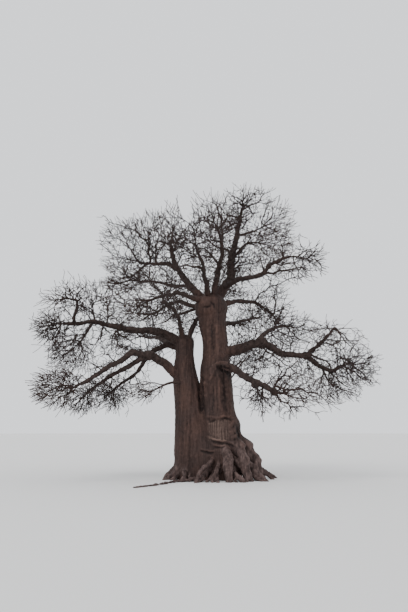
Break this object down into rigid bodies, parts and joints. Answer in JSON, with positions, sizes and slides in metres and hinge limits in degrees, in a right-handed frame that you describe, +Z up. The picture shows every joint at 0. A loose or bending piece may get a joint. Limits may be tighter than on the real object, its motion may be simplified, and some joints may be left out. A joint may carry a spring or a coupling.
{
  "type": "bare baobab tree",
  "caption": "Leafless baobab tree with a fused twin trunk, root flare, long tapering boughs and bare twigs.",
  "frame": {"origin": "in the flat cut at ground level, under the middle of the fused trunk", "axes": "+Z up the trunk, +X to the right seen from the front, +Y away from the front"},
  "size_m": [11.8402, 9.8708, 11.1049],
  "materials": {
    "trunk_bark": "matt, folded grey-brown bark with a reddish cast",
    "bough_bark": "matt, finely wrinkled dark grey-brown bark",
    "twig_bark": "matt dark twig bark"
  },
  "bodies": {
    "root": {"trunk": "trunk_bark", "left_stem": "trunk_bark", "right_stem": "trunk_bark", "great_left_bough": "bough_bark", "low_left_bough": "bough_bark", "back_left_bough": "bough_bark", "left_stem_front_bough": "bough_bark", "left_stem_back_bough": "bough_bark", "great_right_bough": "bough_bark", "low_right_bough": "bough_bark", "right_middle_bough": "bough_bark", "back_right_bough": "bough_bark", "right_leader": "bough_bark", "left_leader": "bough_bark", "middle_leader": "bough_bark", "front_leader": "bough_bark", "upper_left_bough": "bough_bark", "mid_left_front_bough": "bough_bark", "mid_left_back_bough": "bough_bark", "upper_right_bough": "bough_bark", "upper_left_long_bough": "bough_bark", "left_hook_bough": "bough_bark", "low_left_middle_bough": "bough_bark", "right_rising_bough": "bough_bark", "right_dipping_bough": "bough_bark", "right_inner_bough": "bough_bark", "inner_left_bough": "bough_bark", "left_tip_twigs": "twig_bark", "left_hook_twigs": "twig_bark", "left_upper_twigs": "twig_bark", "left_drop_twigs": "twig_bark", "low_left_front_twigs": "twig_bark", "low_left_middle_twigs": "twig_bark", "low_left_back_twigs": "twig_bark", "low_left_inner_twigs": "twig_bark", "back_left_twigs": "twig_bark", "left_stem_front_twigs": "twig_bark", "mid_left_front_twigs": "twig_bark", "mid_left_back_twigs": "twig_bark", "back_twigs": "twig_bark", "upper_left_long_twigs": "twig_bark", "upper_left_outer_twigs": "twig_bark", "upper_left_inner_twigs": "twig_bark", "left_leader_twigs": "twig_bark", "front_leader_twigs": "twig_bark", "middle_leader_twigs": "twig_bark", "crown_back_twigs": "twig_bark", "right_leader_twigs": "twig_bark", "right_leader_side_twigs": "twig_bark", "upper_right_inner_twigs": "twig_bark", "upper_right_outer_twigs": "twig_bark", "right_middle_twigs": "twig_bark", "back_right_twigs": "twig_bark", "low_back_twigs": "twig_bark", "right_inner_twigs": "twig_bark", "right_rising_twigs": "twig_bark", "right_dipping_twigs": "twig_bark", "right_hanging_twigs": "twig_bark", "low_right_twigs": "twig_bark", "low_right_hanging_twigs": "twig_bark"}
  },
  "joints": []
}
